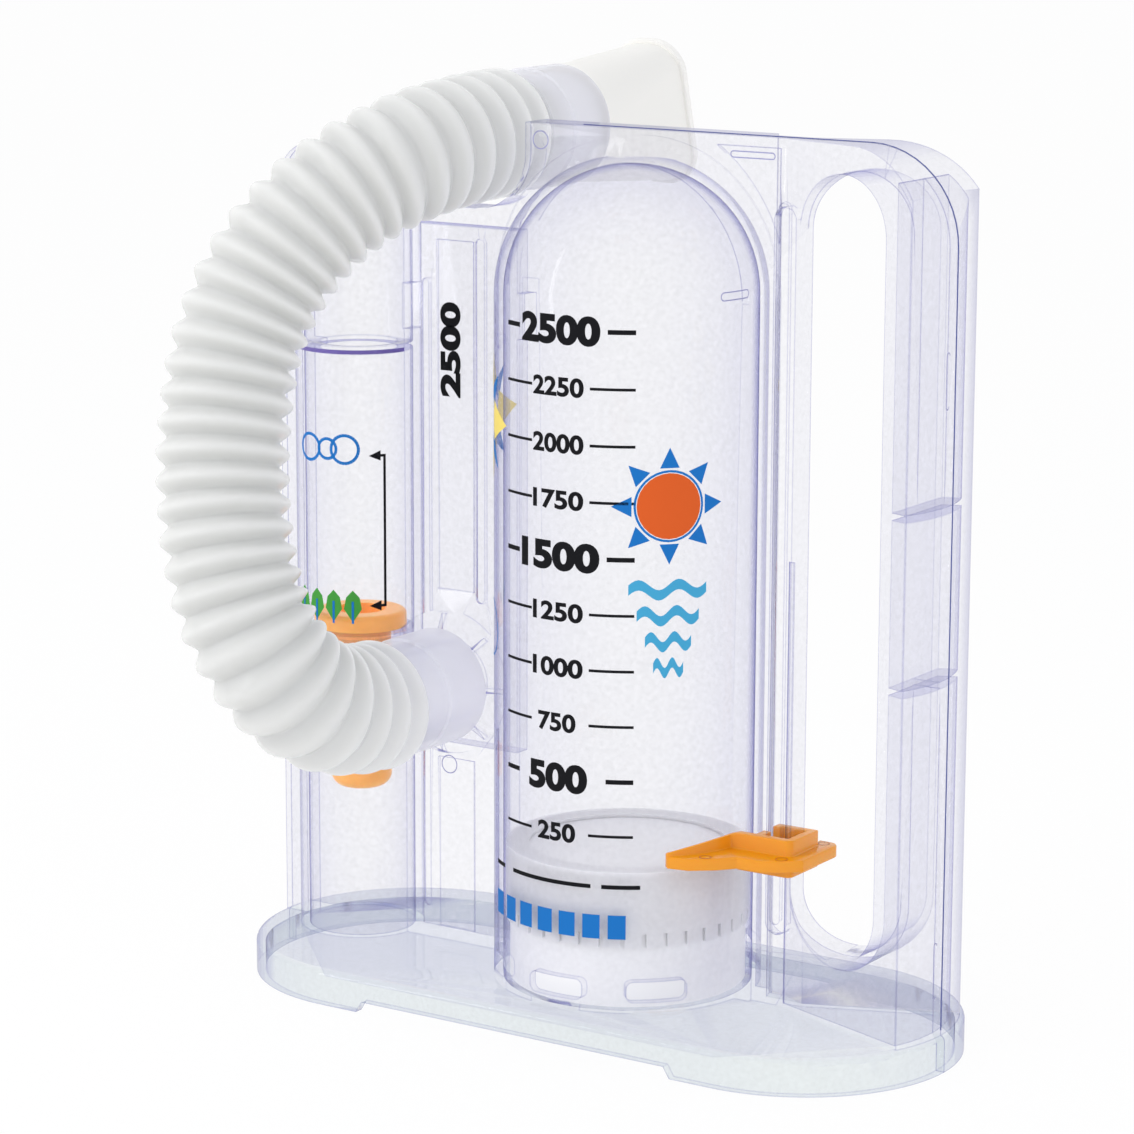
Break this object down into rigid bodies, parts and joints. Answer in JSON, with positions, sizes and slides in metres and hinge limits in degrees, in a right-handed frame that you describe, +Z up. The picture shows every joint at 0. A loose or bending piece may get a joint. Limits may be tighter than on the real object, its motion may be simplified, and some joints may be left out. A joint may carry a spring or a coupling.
{
  "type": "incentive spirometer",
  "caption": "Clear two-shell breathing exerciser with a scaled volume chamber and piston, a flow tube with a float, a sliding goal pointer, a corrugated hose and a flattened mouthpiece.",
  "frame": {"origin": "centre of the base's underside, in the parting plane of the two shells", "axes": "+X right seen from the scale's side, towards the handle; +Y back, towards the mouthpiece; +Z up"},
  "size_m": [0.1704, 0.1585, 0.2041],
  "materials": {
    "clear_shell": "gloss",
    "white_piston": "satin",
    "milky_skirt": "satin",
    "orange_plastic": "gloss",
    "clear_seat": "gloss",
    "milky_hose": "gloss",
    "milky_cuff": "satin",
    "white_mouthpiece": "satin"
  },
  "bodies": {
    "body": {"front_shell": "clear_shell", "rear_shell": "clear_shell", "float_seat": "clear_seat", "lower_cuff": "milky_cuff", "hose": "milky_hose", "upper_cuff": "milky_cuff", "mouthpiece": "white_mouthpiece"},
    "piston": {"piston": "white_piston", "piston_skirt": "milky_skirt"},
    "float": {"flow_float": "orange_plastic"},
    "goal": {"pointer": "orange_plastic"}
  },
  "joints": [
    {"name": "piston_slide", "type": "slide", "parent": "body", "child": "piston", "axis": [0, 0, 1], "range_m": [0, 0.1146]},
    {"name": "float_slide", "type": "slide", "parent": "body", "child": "float", "axis": [0, 0, 1], "range_m": [0, 0.0585]},
    {"name": "goal_slide", "type": "slide", "parent": "body", "child": "goal", "axis": [0, 0, 1], "range_m": [-0.0035, 0.118]}
  ]
}
